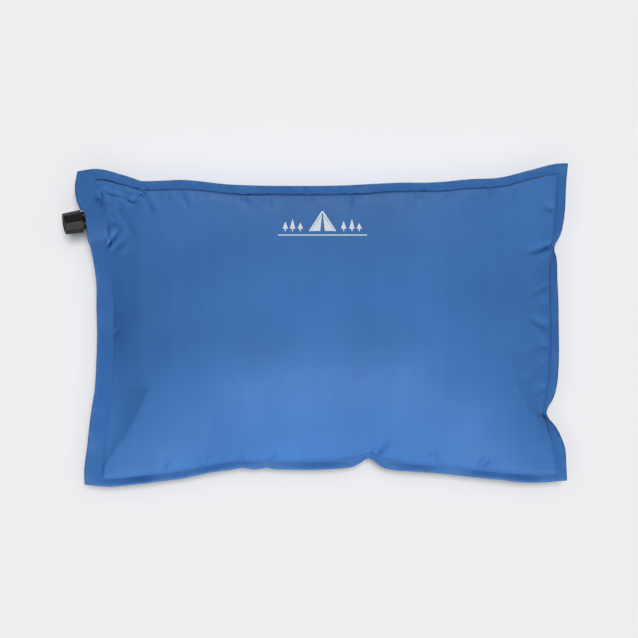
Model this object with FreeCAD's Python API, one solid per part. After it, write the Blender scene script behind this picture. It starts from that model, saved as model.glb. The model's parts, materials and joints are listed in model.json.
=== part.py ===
"""Self-inflating camp pillow: two coated-fabric panels welded round the edge over an open-cell
foam core, with a screw valve in one short edge.

Frame: millimetres, +Z up. The origin is the middle of the flat patch that the inflated pillow
rests on. +X runs along the long side and +Y across the pillow, so the valve leaves through the
-X edge, near the +Y end.

The envelope is drawn as it stands when inflated. The welded margin pulls in between the four
corners, the upper panel domes up from it and the lower panel domes down to the floor. Each valve
piece is drawn on its own axis, with local +Z pointing out of the pillow and local Z = 0 at the
outer edge of the fabric, and then placed in the edge.
"""

import FreeCAD
import Part

import math
import os

from FreeCAD import Vector

# Envelope, inflated
WIDTH = 480.0  # corner to corner along X
DEPTH = 312.0  # corner to corner along Y
THICKNESS = 94.0  # floor to crown
SEAM_HEIGHT = 43.0  # floor to the plane of the chamber's edge
BOW_SHORT = 13.0  # how far a short edge pulls in at its middle
BOW_LONG = 15.0  # how far a long edge pulls in at its middle
MARGIN = 11.0  # width of the welded margin on three sides
VALVE_MARGIN = 18.0  # width of the welded margin on the valve side
FABRIC = 0.4  # coated polyester, one panel
WELD = 0.2  # fused coating between the two panels
SINK = 3.0  # how far the lower dome is pressed flat where it rests
FOAM_GAP = 0.3  # glue line between the foam and each panel
# How far in a dome's outer poles stand, as a share of its size: less gives fuller sides.
POLE_SHARE_X = 0.07
POLE_SHARE_Y = 0.11

# Valve axis
VALVE_FROM_CORNER = 53.5  # along the short edge, from its +Y end
VALVE_SWING = math.radians(10.0)  # turned towards -Y
VALVE_RISE = math.radians(12.0)  # turned up

# Valve body: the boat that the panels are welded to, the spigot inside it, and the collar and
# the threaded stem outside
BOAT_LENGTH = 40.0
BOAT_HALF_HEIGHT = 4.6
BOAT_DEPTH = 22.0
POCKET_DEPTH = 33.0  # how far in the fabric stands off the boat and the spigot
POCKET_END = -0.3
POCKET_SPREAD = 4.0  # how far past each tip of the boat the fabric lies down
SPIGOT_R = 4.4
SPIGOT_END = -31.0
SPIGOT_FILLET = 1.0
AIRWAY_R = 3.2
COLLAR_R = 8.9
COLLAR_TOP = 2.4
STEM_R = 6.0
STEM_TOP = 13.6
STEM_BORE_R = 4.2
STEM_BORE_FLOOR = 2.0

# Screw thread of the stem and the knob
LEAD = 4.4  # travel in one turn; the knob backs off by 330 degrees
RIDGE_ROOT = 1.7  # width of a thread ridge at its root
RIDGE_CREST = 0.9
RIDGE_SINK = 0.3  # how deep a ridge's root is set into its wall
STEM_RIDGE_R = 6.85
STEM_RIDGE_START = 4.7
STEM_RIDGE_TURNS = 1.1
KNOB_RIDGE_R = 6.35
KNOB_RIDGE_START = 4.7
KNOB_RIDGE_TURNS = 0.45

# O-ring at the end of the stem
RING_WIRE_R = 0.8
RING_Z = 12.4
RING_R = 6.28  # middle of the ring's wire

# Post that plugs the knob's air hole
POST_HUB_R = 4.2
POST_HUB_WALL = 0.7
POST_HUB_FLOOR = 2.0
POST_HUB_TOP = 6.0
POST_ARM_WIDTH = 1.1
POST_ARMS = 3
POST_R = 1.8
POST_SHOULDER_R = 4.4
POST_SHOULDER_START = 14.9
POST_SHOULDER_TOP = 16.0
POST_TIP_R = 2.7
POST_TIP_TOP = 19.7
POST_TIP_CHAMFER = 0.5

# Knob
KNOB_SIDES = 8
KNOB_START = 3.0
KNOB_TOP = 20.8
KNOB_FLAT_INNER = 20.8  # across flats, at the end nearer the pillow
KNOB_FLAT_OUTER = 19.2
KNOB_EDGE_R = 1.0
KNOB_RIM_R = 0.8
KNOB_BORE_R = 7.2
KNOB_BORE_TOP = 17.4
KNOB_HOLE_R = 3.1
KNOB_DISH_R = 6.6
KNOB_DISH_DEPTH = 0.7
KNOB_ROLL = 5.0  # degrees that the knob's ridge stands off the top
MOUTH_CHAMFER = 0.6

# Gasket in the knob
GASKET_R = 7.0
GASKET_HOLE_R = 3.1
GASKET_START = 16.1
GASKET_TOP = 17.3

BOX = 1000.0  # half-side of a block that cuts away everything past a plane


# Shapes that everything is made of


def patch(poles, degrees):
    """A face whose poles are given row by row."""
    surface = Part.BSplineSurface()
    rows, columns = (degree + 1 for degree in degrees)
    surface.buildFromPolesMultsKnots(
        poles, [rows, rows], [columns, columns], [0, 1], [0, 1], False, False, *degrees
    )
    return surface.toShape()


def closed_solid(faces):
    """The solid that these faces close off."""
    shell = Part.makeShell(faces)
    shell.sewShape()
    solid = Part.makeSolid(shell)
    if solid.Volume < 0:
        solid.reverse()
    return solid


def outward(shape):
    """A shape drawn on the valve's own axis, placed in the pillow's edge."""
    axis = Vector(
        -math.cos(VALVE_RISE) * math.cos(VALVE_SWING),
        -math.cos(VALVE_RISE) * math.sin(VALVE_SWING),
        math.sin(VALVE_RISE),
    )
    along = Vector(0, 0, 1).cross(axis).normalize()
    up = axis.cross(along)
    at = valve_point()
    columns = zip(along, up, axis, at)
    matrix = FreeCAD.Matrix(*[value for row in columns for value in row], 0, 0, 0, 1)
    placed = shape.copy()
    placed.Placement = FreeCAD.Placement(matrix)
    return placed


def disc(radius, low, high):
    """A cylinder on the local Z axis."""
    return Part.makeCylinder(radius, high - low, Vector(0, 0, low))


def tube(outer, inner, low, high):
    """A straight tube on the local Z axis."""
    return disc(outer, low, high).cut(disc(inner, low, high))


def ridge(root_r, crest_r, start, turns, start_angle):
    """One helical thread ridge. Its crest stands outside its root on a stem, inside it in a knob."""
    helix = Part.makeHelix(LEAD, LEAD * turns, root_r)
    section = [
        Vector(root_r, 0, -RIDGE_ROOT / 2),
        Vector(crest_r, 0, -RIDGE_CREST / 2),
        Vector(crest_r, 0, RIDGE_CREST / 2),
        Vector(root_r, 0, RIDGE_ROOT / 2),
    ]
    profile = Part.makePolygon(section + section[:1])
    solid = Part.Wire(helix.Edges).makePipeShell([profile], True, True)
    if solid.Volume < 0:
        solid.reverse()
    solid.rotate(Vector(0, 0, 0), Vector(0, 0, 1), start_angle)
    solid.translate(Vector(0, 0, start))
    return solid


# Envelope: the chamber is bounded by four bowed edges, and the margin lies between it and the outline


def chamber_corner(side_x, side_y, inset, z):
    """A corner of the chamber, moved in by inset on both sides. side_x and side_y are -1 or 1."""
    margin_x = VALVE_MARGIN if side_x < 0 else MARGIN
    return Vector(
        side_x * (WIDTH / 2 - margin_x - inset), side_y * (DEPTH / 2 - MARGIN - inset), z
    )


def outline_corner(side_x, side_y, z):
    """A corner of the outer edge. The valve side stands up with the valve."""
    lift = VALVE_MARGIN * math.tan(VALVE_RISE) if side_x < 0 else 0.0
    return Vector(side_x * WIDTH / 2, side_y * DEPTH / 2, z + lift)


def bowed(start, end):
    """The five poles of an edge that pulls in towards the pillow's middle line, close to a parabola."""
    if abs(start.x - end.x) > abs(start.y - end.y):
        share, inward = POLE_SHARE_X, Vector(0, math.copysign(BOW_LONG, -start.y), 0)
    else:
        share, inward = POLE_SHARE_Y, Vector(math.copysign(BOW_SHORT, -start.x), 0, 0)
    near, far = start * (1 - share) + end * share, start * share + end * (1 - share)
    outer, middle = inward * 4 * share, inward * (8 - 16 * share) / 3
    return [start, near + outer, (start + end) / 2 + middle, far + outer, end]


def around(corner):
    """The four bowed edges through corner(side_x, side_y), as lists of poles, going round."""
    ring = [corner(-1, -1), corner(1, -1), corner(1, 1), corner(-1, 1)]
    return [bowed(ring[i], ring[(i + 1) % 4]) for i in range(4)]


def chamber_edges(inset, z):
    return around(lambda side_x, side_y: chamber_corner(side_x, side_y, inset, z))


def outline_edges(z):
    return around(lambda side_x, side_y: outline_corner(side_x, side_y, z))


def between(edges_a, edges_b):
    """The four straight-ruled faces between two rings of edges."""
    return [patch([a, b], (1, 4)) for a, b in zip(edges_a, edges_b)]


def edge_curve(poles):
    curve = Part.BezierCurve()
    curve.setPoles(poles)
    return curve.toShape()


def dome(inset, z, height):
    """The face that rises height from the chamber's edge at z, or falls where height is negative."""
    front, right, back, left = chamber_edges(inset, z)
    back, left = back[::-1], left[::-1]
    shares_x = (0, POLE_SHARE_X, 0.5, 1 - POLE_SHARE_X, 1)
    shares_y = (0, POLE_SHARE_Y, 0.5, 1 - POLE_SHARE_Y, 1)
    # The middle of the face reaches 7/8 of the inner poles' height each way.
    pole_height = height * (8 / 7) ** 2
    rows = []
    for i, u in enumerate(shares_x):
        row = []
        for j, v in enumerate(shares_y):
            across = left[j] * (1 - u) + right[j] * u
            along = front[i] * (1 - v) + back[i] * v
            flat = (left[0] * (1 - u) + right[0] * u) * (1 - v) + (left[4] * (1 - u) + right[4] * u) * v
            inner = 0 < i < 4 and 0 < j < 4
            row.append(across + along - flat + Vector(0, 0, pole_height if inner else 0))
        rows.append(row)
    return patch(rows, (4, 4))


def valve_point():
    """The point of the pillow's outer edge that the valve comes out of."""
    edge = edge_curve(outline_edges(SEAM_HEIGHT)[3])
    return edge.valueAt(edge.getParameterByLength(VALVE_FROM_CORNER))


def block_above(z):
    return Part.makeBox(2 * BOX, 2 * BOX, BOX, Vector(-BOX, -BOX, z))


def chamber_base(inset, z):
    """The flat face at z that the chamber's edges bound."""
    return Part.Face(Part.Wire([edge_curve(poles) for poles in chamber_edges(inset, z)]))


def half_chamber(inset, z, height):
    """The solid between the chamber's plane at z and its dome."""
    return closed_solid([dome(inset, z, height), chamber_base(inset, z)])


def bare_panel(side):
    """One panel without its valve pocket: a thin dome with the margin. side is 1 up or -1 down."""
    inner_z = SEAM_HEIGHT + side * WELD / 2
    outer_z = inner_z + side * FABRIC
    height = dome_height(side)
    outer_rim, inner_rim = outline_edges(outer_z), outline_edges(inner_z)
    faces = [dome(0, outer_z, height), dome(FABRIC, inner_z, height)]
    faces += between(chamber_edges(0, outer_z), outer_rim)
    faces += between(chamber_edges(FABRIC, inner_z), chamber_edges(0, inner_z))
    faces += between(chamber_edges(0, inner_z), inner_rim)
    faces += between(outer_rim, inner_rim)
    return closed_solid(faces)


def dome_height(side):
    """How far a panel's dome stands off its margin. The lower one would reach past the floor by SINK."""
    edge = WELD / 2 + FABRIC
    return THICKNESS - SEAM_HEIGHT - edge if side > 0 else -(SEAM_HEIGHT + SINK - edge)


def margin_block(low, high):
    """Everything within the margin whose height over the seam is from low to high."""
    outer_low, outer_high = outline_edges(SEAM_HEIGHT + low), outline_edges(SEAM_HEIGHT + high)
    inner_low, inner_high = chamber_edges(0, SEAM_HEIGHT + low), chamber_edges(0, SEAM_HEIGHT + high)
    faces = between(outer_low, inner_low) + between(outer_high, inner_high)
    faces += between(outer_low, outer_high) + between(inner_low, inner_high)
    return closed_solid(faces)


def slab(low, high):
    """Everything within the outline whose height over the seam is from low to high."""
    middle = chamber_base(0, SEAM_HEIGHT + low).extrude(Vector(0, 0, high - low))
    return margin_block(low, high).fuse(middle)


def boat(low, high, spread=0.0, grow=0.0):
    """The long lens that the panels close on: spread longer past each tip, and grow thicker each way."""
    tip, crest = BOAT_LENGTH / 2 + spread, BOAT_HALF_HEIGHT + grow
    upper = Part.Arc(Vector(-tip, 0, low), Vector(0, crest, low), Vector(tip, 0, low)).toShape()
    lower = Part.Arc(Vector(tip, 0, low), Vector(0, -crest, low), Vector(-tip, 0, low)).toShape()
    return Part.Face(Part.Wire([upper, lower])).extrude(Vector(0, 0, high - low))


def valve_opening():
    """What the valve takes out of the panels. It runs on past their edge, which is not quite
    square to the valve."""
    return outward(boat(-POCKET_DEPTH, POCKET_DEPTH))


def panel(side):
    """One fabric panel, with its half of the pocket that is welded to the valve's boat."""
    inner_z = SEAM_HEIGHT + side * WELD / 2
    inside = half_chamber(FABRIC, inner_z, dome_height(side))
    own_side = slab(*sorted((side * WELD / 2, side * 3 * BOAT_HALF_HEIGHT)))
    cover = outward(boat(-POCKET_DEPTH, POCKET_END, POCKET_SPREAD, FABRIC)).common(own_side).cut(inside)
    made = bare_panel(side).fuse(cover).cut(valve_opening())
    if side < 0:
        resting = half_chamber(0, inner_z - FABRIC, dome_height(side)).cut(block_above(FABRIC))
        made = made.fuse(resting).common(block_above(0))
    return made.removeSplitter()


def seam_weld():
    """The band of fused coating between the two panels' margins."""
    return margin_block(-WELD / 2, WELD / 2).cut(valve_opening())


def foam_core():
    """The foam slab that fills the chamber, with a pocket for the valve's inner end."""
    inset = FABRIC + FOAM_GAP
    halves = []
    for side in (1, -1):
        height = dome_height(side) - side * FOAM_GAP
        halves.append(half_chamber(inset, SEAM_HEIGHT, height))
    core = halves[0].fuse(halves[1]).common(block_above(FABRIC + FOAM_GAP))
    pocket = boat(-POCKET_DEPTH - FOAM_GAP, 0, POCKET_SPREAD, FABRIC + FOAM_GAP)
    return core.cut(outward(pocket)).removeSplitter()


# Valve, drawn on its own axis


def valve_body():
    spigot = disc(SPIGOT_R, SPIGOT_END, -BOAT_DEPTH)
    spigot = spigot.makeFillet(SPIGOT_FILLET, [spigot.Edges[2]])
    solid = boat(-BOAT_DEPTH, 0).fuse(spigot)
    solid = solid.fuse(disc(COLLAR_R, 0, COLLAR_TOP))
    solid = solid.fuse(disc(STEM_R, COLLAR_TOP, STEM_TOP))
    solid = solid.fuse(ridge(STEM_R - RIDGE_SINK, STEM_RIDGE_R, STEM_RIDGE_START, STEM_RIDGE_TURNS, 0))
    groove = Part.makeTorus(RING_R, RING_WIRE_R, Vector(0, 0, RING_Z))
    solid = solid.cut(groove)
    solid = solid.cut(disc(AIRWAY_R, SPIGOT_END, STEM_TOP))
    return solid.cut(disc(STEM_BORE_R, STEM_BORE_FLOOR, STEM_TOP))


def valve_post():
    solid = tube(POST_HUB_R, POST_HUB_R - POST_HUB_WALL, POST_HUB_FLOOR, POST_HUB_TOP)
    reach = POST_HUB_R - POST_HUB_WALL / 2
    for i in range(POST_ARMS):
        corner = Vector(0, -POST_ARM_WIDTH / 2, POST_HUB_FLOOR)
        arm = Part.makeBox(reach, POST_ARM_WIDTH, POST_HUB_TOP - POST_HUB_FLOOR, corner)
        arm.rotate(Vector(0, 0, 0), Vector(0, 0, 1), i * 360 / POST_ARMS)
        solid = solid.fuse(arm)
    solid = solid.fuse(disc(POST_R, POST_HUB_FLOOR, POST_SHOULDER_TOP))
    solid = solid.fuse(disc(POST_SHOULDER_R, POST_SHOULDER_START, POST_SHOULDER_TOP))
    tip = disc(POST_TIP_R, POST_SHOULDER_TOP, POST_TIP_TOP)
    tip = tip.makeChamfer(POST_TIP_CHAMFER, [top_edge(tip, POST_TIP_TOP)])
    return solid.fuse(tip).removeSplitter()


def top_edge(shape, z):
    """The round edge of a shape at height z."""
    flat = [edge for edge in shape.Edges if edge.BoundBox.ZLength < 0.01]
    return next(edge for edge in flat if abs(edge.BoundBox.ZMin - z) < 0.01)


def stem_o_ring():
    return Part.makeTorus(RING_R, RING_WIRE_R, Vector(0, 0, RING_Z))


def knob_gasket():
    return tube(GASKET_R, GASKET_HOLE_R, GASKET_START, GASKET_TOP)


def octagon(across_flats, z):
    """A regular polygon of KNOB_SIDES sides, with a corner on local +Y."""
    radius = across_flats / 2 / math.cos(math.pi / KNOB_SIDES)
    corners = []
    for i in range(KNOB_SIDES + 1):
        angle = math.pi / 2 + 2 * math.pi * i / KNOB_SIDES
        corners.append(Vector(radius * math.cos(angle), radius * math.sin(angle), z))
    return Part.makePolygon(corners)


def valve_knob():
    ends = [octagon(KNOB_FLAT_INNER, KNOB_START), octagon(KNOB_FLAT_OUTER, KNOB_TOP)]
    solid = Part.makeLoft(ends, True, True)
    ridges = [edge for edge in solid.Edges if edge.BoundBox.ZLength > 1]
    solid = solid.makeFillet(KNOB_EDGE_R, ridges)
    rims = [edge for edge in solid.Edges if edge.BoundBox.ZMin > KNOB_TOP - 0.01]
    solid = solid.makeFillet(KNOB_RIM_R, rims)
    solid = solid.cut(disc(KNOB_BORE_R, KNOB_START, KNOB_BORE_TOP))
    solid = solid.cut(disc(KNOB_HOLE_R, KNOB_BORE_TOP, KNOB_TOP))
    solid = solid.cut(disc(KNOB_DISH_R, KNOB_TOP - KNOB_DISH_DEPTH, KNOB_TOP))
    mouth_r = KNOB_BORE_R + MOUTH_CHAMFER
    start = Vector(0, 0, KNOB_START)
    solid = solid.cut(Part.makeCone(mouth_r, KNOB_BORE_R, MOUTH_CHAMFER, start))
    # Half a turn round, so that it runs midway between the turns of the stem's ridge.
    root_r = KNOB_BORE_R + RIDGE_SINK
    solid = solid.fuse(ridge(root_r, KNOB_RIDGE_R, KNOB_RIDGE_START, KNOB_RIDGE_TURNS, 180))
    solid.rotate(Vector(0, 0, 0), Vector(0, 0, 1), KNOB_ROLL)
    return solid


def build():
    return {
        "upper_panel": panel(1),
        "lower_panel": panel(-1),
        "seam_weld": seam_weld(),
        "foam_core": foam_core(),
        "valve_body": outward(valve_body()),
        "valve_post": outward(valve_post()),
        "stem_o_ring": outward(stem_o_ring()),
        "knob_gasket": outward(knob_gasket()),
        "valve_knob": outward(valve_knob()),
    }


os.makedirs("parts", exist_ok=True)
for node, shape in build().items():
    shape.exportStep(f"parts/{node}.step")
    box = shape.optimalBoundingBox(False, False)
    print(
        f"{node}: {len(shape.Solids)} solid, valid {shape.isValid()}, {shape.Volume:.1f} mm3, "
        f"x {box.XMin:.1f} to {box.XMax:.1f}, y {box.YMin:.1f} to {box.YMax:.1f}, "
        f"z {box.ZMin:.1f} to {box.ZMax:.1f}"
    )
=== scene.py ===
"""Camp pillow: its looks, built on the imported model.

The two fabric panels are blown up by a small position-based cloth simulation, written out below in
numpy. It starts from two flat welded rectangles of fabric with a foam block between them, and draws
the welded edge in to the outline that the inflated pillow has. Facets, creases and folds are then
pressed in, and the covers, welded margin, foam and print are made from the result. Metres, in the
frame of the CAD model, +Z up. The front is -Y, the back +Y, the left -X, where the valve is, and
the right +X. In tables, panel 0 is the upper one and 1 the lower, and a share runs from 0 to 1 along
a side, towards +X or +Y.
"""
import json
import math

import bpy
import numpy as np
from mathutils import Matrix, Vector
from mathutils.bvhtree import BVHTree


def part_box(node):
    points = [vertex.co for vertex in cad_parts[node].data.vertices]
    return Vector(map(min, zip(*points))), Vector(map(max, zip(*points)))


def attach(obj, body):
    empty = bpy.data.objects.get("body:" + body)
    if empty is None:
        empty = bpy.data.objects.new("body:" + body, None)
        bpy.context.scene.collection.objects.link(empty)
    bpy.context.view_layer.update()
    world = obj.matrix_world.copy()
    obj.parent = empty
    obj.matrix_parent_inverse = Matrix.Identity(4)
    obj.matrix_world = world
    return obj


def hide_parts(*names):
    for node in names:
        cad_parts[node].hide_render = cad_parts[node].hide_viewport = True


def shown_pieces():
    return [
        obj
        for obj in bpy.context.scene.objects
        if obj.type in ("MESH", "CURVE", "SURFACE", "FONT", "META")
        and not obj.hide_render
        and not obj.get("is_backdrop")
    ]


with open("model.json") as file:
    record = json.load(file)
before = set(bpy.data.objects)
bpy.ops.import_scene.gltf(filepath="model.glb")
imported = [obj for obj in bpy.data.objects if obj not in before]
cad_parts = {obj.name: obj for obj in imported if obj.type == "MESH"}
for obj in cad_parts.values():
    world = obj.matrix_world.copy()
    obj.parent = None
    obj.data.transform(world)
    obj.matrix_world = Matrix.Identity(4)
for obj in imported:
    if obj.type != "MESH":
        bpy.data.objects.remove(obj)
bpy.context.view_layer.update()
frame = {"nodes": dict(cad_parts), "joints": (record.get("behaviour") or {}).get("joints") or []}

# ---------------------------------------------------------------- dimensions
FLAT = (0.4845, 0.3180)  # the two panels before they are inflated
MARGIN = {"left": 0.018, "right": 0.011, "front": 0.011, "back": 0.011}
SHRINK = (0.012, 0.020)  # how much the welded margin is gathered, along x and along y
EASE = 0.996  # how far the fabric of the chamber has eased under pressure
FABRIC = 0.0004  # thickness of one panel
WELD = 0.0002  # thickness of the fused coating
LOFT = 0.0990  # thickness of the foam in the middle
FOAM_GAP = 0.0007  # from the middle of a panel to the foam
FOAM_EDGE = 0.006  # how far the foam stops short of the seam, and how thick it is there at least
TOUCH = 0.0001  # how near to a line a grid point counts as on it

PANEL_LOW, PANEL_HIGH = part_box("upper_panel")
SEAM_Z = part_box("seam_weld")[0].z + WELD / 2

# The valve's own frame: OUT leaves the pillow, ALONG runs towards the front, UP is square to both.
TWIST = next(j for j in frame["joints"] if j["name"] == "knob_twist")
VALVE = np.array(TWIST["pos_m"])
OUT = np.array(TWIST["axis"]) / np.linalg.norm(TWIST["axis"])
ALONG = np.cross((0, 0, 1), OUT)
ALONG /= np.linalg.norm(ALONG)
UP = np.cross(OUT, ALONG)
VALVE_FROM_CORNER = 0.0535
BOAT = (0.020, 0.022, 0.0046)  # half length, depth and half height
SPIGOT = (0.0325, 0.0046)  # depth and radius
OFF_VALVE = 0.0002  # how far the panels' middles stay off the valve
# Stretches of the panels about the valve: half width, and depth from the outer edge.
HELD = (0.0115, 0.0225)  # lies on the boat
LEVEL = (0.0235, 0.0205)  # is drawn level with the boat
FLANK = (0.050, 0.0205)  # isn't drawn inwards, or only a little past the boat's tips
POCKET = (0.030, 0.036)  # stands off the boat and the spigot
FOAM_SLOT = (0.021, 0.043)  # has no foam

# Corners: how far in from the corner of the CAD outline, and how far above the seam.
CORNERS = {
    "front_left": (0.0065, 0.0003, -0.004),
    "front_right": (0.0, 0.0044, -0.003),
    "back_left": (0.0003, 0.0048, 0.005),
    "back_right": (0.0, -0.0030, 0.003),
}
# Sides: from corner, to corner, inwards, and how far in the edge lies at each share of the side.
SIDES = {
    "front": ("front_left", "front_right", (0, 1), (
        (0.0, 0), (0.05, -0.0022), (0.115, 0.0004), (0.20, 0.0049), (0.28, 0.0120), (0.36, 0.0131),
        (0.48, 0.0126), (0.55, 0.0135), (0.64, 0.0112), (0.74, 0.0077), (0.80, 0.0044),
        (0.86, 0.0013), (0.93, -0.0020), (1.0, 0))),
    "back": ("back_left", "back_right", (0, -1), (
        (0.0, 0), (0.035, -0.0023), (0.096, 0.0042), (0.14, 0.0092), (0.22, 0.0099), (0.31, 0.0150),
        (0.43, 0.0172), (0.55, 0.0176), (0.65, 0.0159), (0.74, 0.0159), (0.80, 0.0136),
        (0.862, 0.0125), (0.923, 0.0058), (0.985, -0.0002), (1.0, 0))),
    "left": ("front_left", "back_left", (1, 0), (
        (0.0, 0), (0.05, 0.0002), (0.13, 0.0038), (0.22, 0.0075), (0.30, 0.0120), (0.40, 0.0148),
        (0.57, 0.0158), (0.66, 0.0160), (0.75, 0.0118), (0.842, 0.0063), (0.885, 0.0008),
        (0.925, -0.0024), (0.955, -0.0026), (1.0, 0))),
    "right": ("front_right", "back_right", (-1, 0), (
        (0.0, 0), (0.05, 0.0006), (0.10, 0.0014), (0.145, 0.0050), (0.27, 0.0095), (0.33, 0.0083),
        (0.55, 0.0082), (0.67, 0.0092), (0.79, 0.0045), (0.853, 0.0023), (0.93, 0.0015), (1.0, 0))),
}
# How far the outer edge hangs below the seam in the middle of each side.
DROOP = {"front": 0.0042, "back": 0.0035, "left": 0.0, "right": 0.0066}
# The least width that the margin keeps in the outline, as a share of its own.
KEPT = {"front": 0.80, "back": 0.96, "left": 0.80, "right": 0.80}
# How far the chamber may hang over its own seam on each side.
OVERHANG = {"front": 0.0002, "back": 0.0005, "left": 0.0010, "right": 0.0014}
DEEP_TUCK = 0.005  # a tuck deeper than this narrows the margin
# Tucks, where the edge is drawn in further: side, share along it, depth, half width, drop.
TUCKS = (
    ("front", 0.590, 0.0135, 0.0095, 0.006),
    ("front", 0.325, 0.0022, 0.0080, 0.002),
    ("front", 0.377, 0.0018, 0.0060, 0.001),
    ("right", 0.738, 0.0070, 0.0090, 0.006),
    ("right", 0.212, 0.0140, 0.0115, 0.010),
    ("back", 0.128, 0.0020, 0.0100, 0.002),
)

# Pinches, where the chamber is drawn in with its edge: side, share along it, depth, half width.
PINCHES = (
    ("front", 0.590, 0.0030, 0.0095),
)

# Flat facets that the stiff fabric makes where it leaves the seam: panel, side, and how wide the
# facet is at each share of the side.
FACETS = (
    (0, "left", ((0.055, 0.0), (0.19, 0.0300), (0.315, 0.0500), (0.40, 0.0380), (0.50, 0.0350),
                 (0.64, 0.0360), (0.73, 0.0340), (0.762, 0.0180), (0.80, 0.0240), (0.85, 0.0190),
                 (0.90, 0.0100), (0.945, 0.0))),
    (0, "back", ((0.045, 0.0), (0.088, 0.0240), (0.125, 0.0060), (0.155, 0.0220), (0.195, 0.0110),
                 (0.228, 0.0240), (0.25, 0.0080), (0.33, 0.0150), (0.375, 0.0070), (0.41, 0.0230),
                 (0.445, 0.0080), (0.50, 0.0130), (0.535, 0.0230), (0.565, 0.0080), (0.62, 0.0120),
                 (0.657, 0.0220), (0.69, 0.0080), (0.76, 0.0180), (0.80, 0.0070), (0.85, 0.0200),
                 (0.90, 0.0080), (0.94, 0.0130), (0.965, 0.0))),
    (0, "front", ((0.04, 0.0), (0.10, 0.0090), (0.16, 0.0030), (0.235, 0.0100), (0.27, 0.0035),
                  (0.325, 0.0090), (0.35, 0.0030), (0.385, 0.0080), (0.42, 0.0030), (0.52, 0.0060),
                  (0.57, 0.0030), (0.60, 0.0180), (0.645, 0.0050), (0.70, 0.0040), (0.745, 0.0120),
                  (0.775, 0.0040), (0.83, 0.0090), (0.88, 0.0040), (0.96, 0.0))),
    (0, "right", ((0.04, 0.0), (0.12, 0.0100), (0.195, 0.0080), (0.23, 0.0220), (0.33, 0.0420),
                  (0.42, 0.0460), (0.55, 0.0300), (0.68, 0.0180), (0.735, 0.0080), (0.79, 0.0180),
                  (0.86, 0.0150), (0.96, 0.0))),
    (1, "front", ((0.04, 0.0), (0.14, 0.0140), (0.22, 0.0050), (0.34, 0.0140), (0.45, 0.0050),
                  (0.59, 0.0160), (0.66, 0.0050), (0.80, 0.0130), (0.96, 0.0))),
    (1, "back", ((0.04, 0.0), (0.16, 0.0130), (0.27, 0.0050), (0.40, 0.0140), (0.52, 0.0050),
                 (0.66, 0.0130), (0.76, 0.0050), (0.87, 0.0120), (0.96, 0.0))),
    (1, "left", ((0.04, 0.0), (0.25, 0.0180), (0.50, 0.0200), (0.73, 0.0140), (0.80, 0.0))),
    (1, "right", ((0.04, 0.0), (0.22, 0.0150), (0.32, 0.0060), (0.52, 0.0140), (0.74, 0.0150),
                  (0.96, 0.0))),
)

FLATTEN = 0.9  # how nearly straight a facet is drawn
# How hollow a facet is at each share of the side, as a share of its width.
HOLLOWS = {
    (0, "left"): ((0.0, 0.045), (0.34, 0.045), (0.44, 0.0), (1.0, 0.0)),
    (0, "right"): ((0.18, 0.0), (0.22, 0.03), (0.42, 0.03), (0.52, 0.0)),
}

PRESS = 1.25  # how firmly the creases are pressed in
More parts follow.
